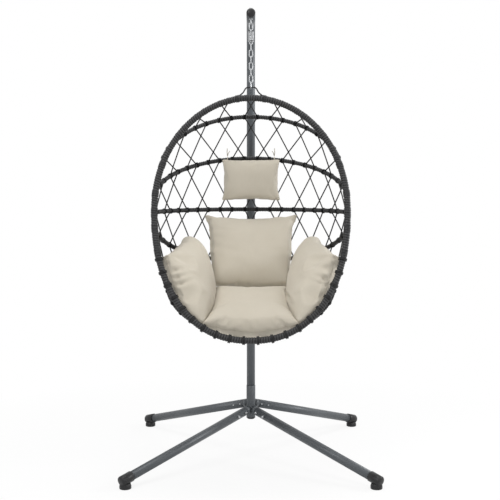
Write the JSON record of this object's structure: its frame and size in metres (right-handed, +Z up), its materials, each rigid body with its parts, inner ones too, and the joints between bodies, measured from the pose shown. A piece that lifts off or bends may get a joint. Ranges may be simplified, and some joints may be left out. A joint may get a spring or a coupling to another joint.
{
  "type": "hanging egg chair",
  "caption": "Hanging egg chair: a wicker-wrapped basket with netting and padded cushions hangs on a spring and chain from the forward arm of a curved pole on a splayed four-legged base.",
  "frame": {"origin": "on the floor under the middle of the object's box; the pole's axis is at X = 0, Y = +0.0767", "axes": "+Z up; the basket opens to -Y, where the sitter faces; +X to the sitter's left, the viewer's right"},
  "size_m": [1.0942, 1.2534, 1.9975],
  "materials": {
    "powder_coat": "fine satin powder coat, anthracite",
    "black_plastic": "moulded, matt black",
    "zinc": "zinc plated",
    "wicker": "flat resin wicker wound over steel tube, black",
    "net_cord": "round resin cord, black",
    "cushion_cloth": "plain woven polyester, cream"
  },
  "bodies": {
    "stand": {"hub": "powder_coat", "hub_plug": "black_plastic", "leg_front_left": "powder_coat", "leg_front_right": "powder_coat", "leg_back_left": "powder_coat", "leg_back_right": "powder_coat", "foot_front_left": "black_plastic", "foot_front_right": "black_plastic", "foot_back_left": "black_plastic", "foot_back_right": "black_plastic", "leg_bolt_front_left": "zinc", "leg_bolt_front_right": "zinc", "leg_bolt_back_left": "zinc", "leg_bolt_back_right": "zinc", "pole_lower": "powder_coat", "pole_upper": "powder_coat", "pole_coupler": "powder_coat", "pole_bolt_lower": "zinc", "pole_bolt_upper": "zinc", "arm_end_cap": "black_plastic", "eye_bolt": "zinc", "eye_nut": "zinc"},
    "hook": {"upper_quick_link": "zinc", "upper_quick_link_sleeve": "zinc", "spring_top_plug": "zinc", "hanger_spring": "zinc"},
    "spring_foot": {"spring_bottom_plug": "zinc"},
    "chain": {"chain_link_1": "zinc", "chain_link_2": "zinc", "chain_link_3": "zinc", "chain_link_4": "zinc", "chain_link_5": "zinc", "chain_link_6": "zinc"},
    "lower_link": {"lower_quick_link": "zinc", "lower_quick_link_sleeve": "zinc"},
    "basket": {"hanger_bow": "zinc", "rim_upper": "wicker", "rim_lower": "wicker", "rim_spigot_left": "powder_coat", "rim_spigot_right": "powder_coat", "rib_1": "wicker", "rib_2": "wicker", "rib_3": "wicker", "rib_4": "wicker", "rib_5": "wicker", "rib_6": "wicker", "net_band_1": "net_cord", "net_band_2": "net_cord", "net_band_3": "net_cord", "net_band_4": "net_cord", "net_band_5": "net_cord", "seat_cushion": "cushion_cloth", "back_cushion": "cushion_cloth", "arm_cushion_left": "cushion_cloth", "arm_cushion_right": "cushion_cloth", "head_pillow": "cushion_cloth", "head_pillow_tie_left": "net_cord", "head_pillow_tie_right": "net_cord"}
  },
  "joints": [
    {"name": "hook_swing", "type": "hinge", "parent": "stand", "child": "hook", "pos_m": [0, -0.3023, 1.931], "axis": [1, 0, 0], "range_deg": [-15, 4]},
    {"name": "spring_stretch", "type": "slide", "parent": "hook", "child": "spring_foot", "axis": [0, 0, -1], "range_m": [0, 0.025], "stiffness_N_per_m": 30000, "springref_m": -0.006, "deforming": ["hanger_spring"]},
    {"name": "chain_sway", "type": "hinge", "parent": "spring_foot", "child": "chain", "pos_m": [0, -0.3023, 1.8452], "axis": [0, 1, 0], "range_deg": [-8, 8]},
    {"name": "basket_swivel", "type": "hinge", "parent": "chain", "child": "lower_link", "pos_m": [0, -0.3023, 1.685], "axis": [0, 0, 1], "range_deg": [-25, 25]},
    {"name": "basket_nod", "type": "hinge", "parent": "lower_link", "child": "basket", "pos_m": [0, -0.3023, 1.6603], "axis": [1, 0, 0], "range_deg": [-6, 2]}
  ]
}
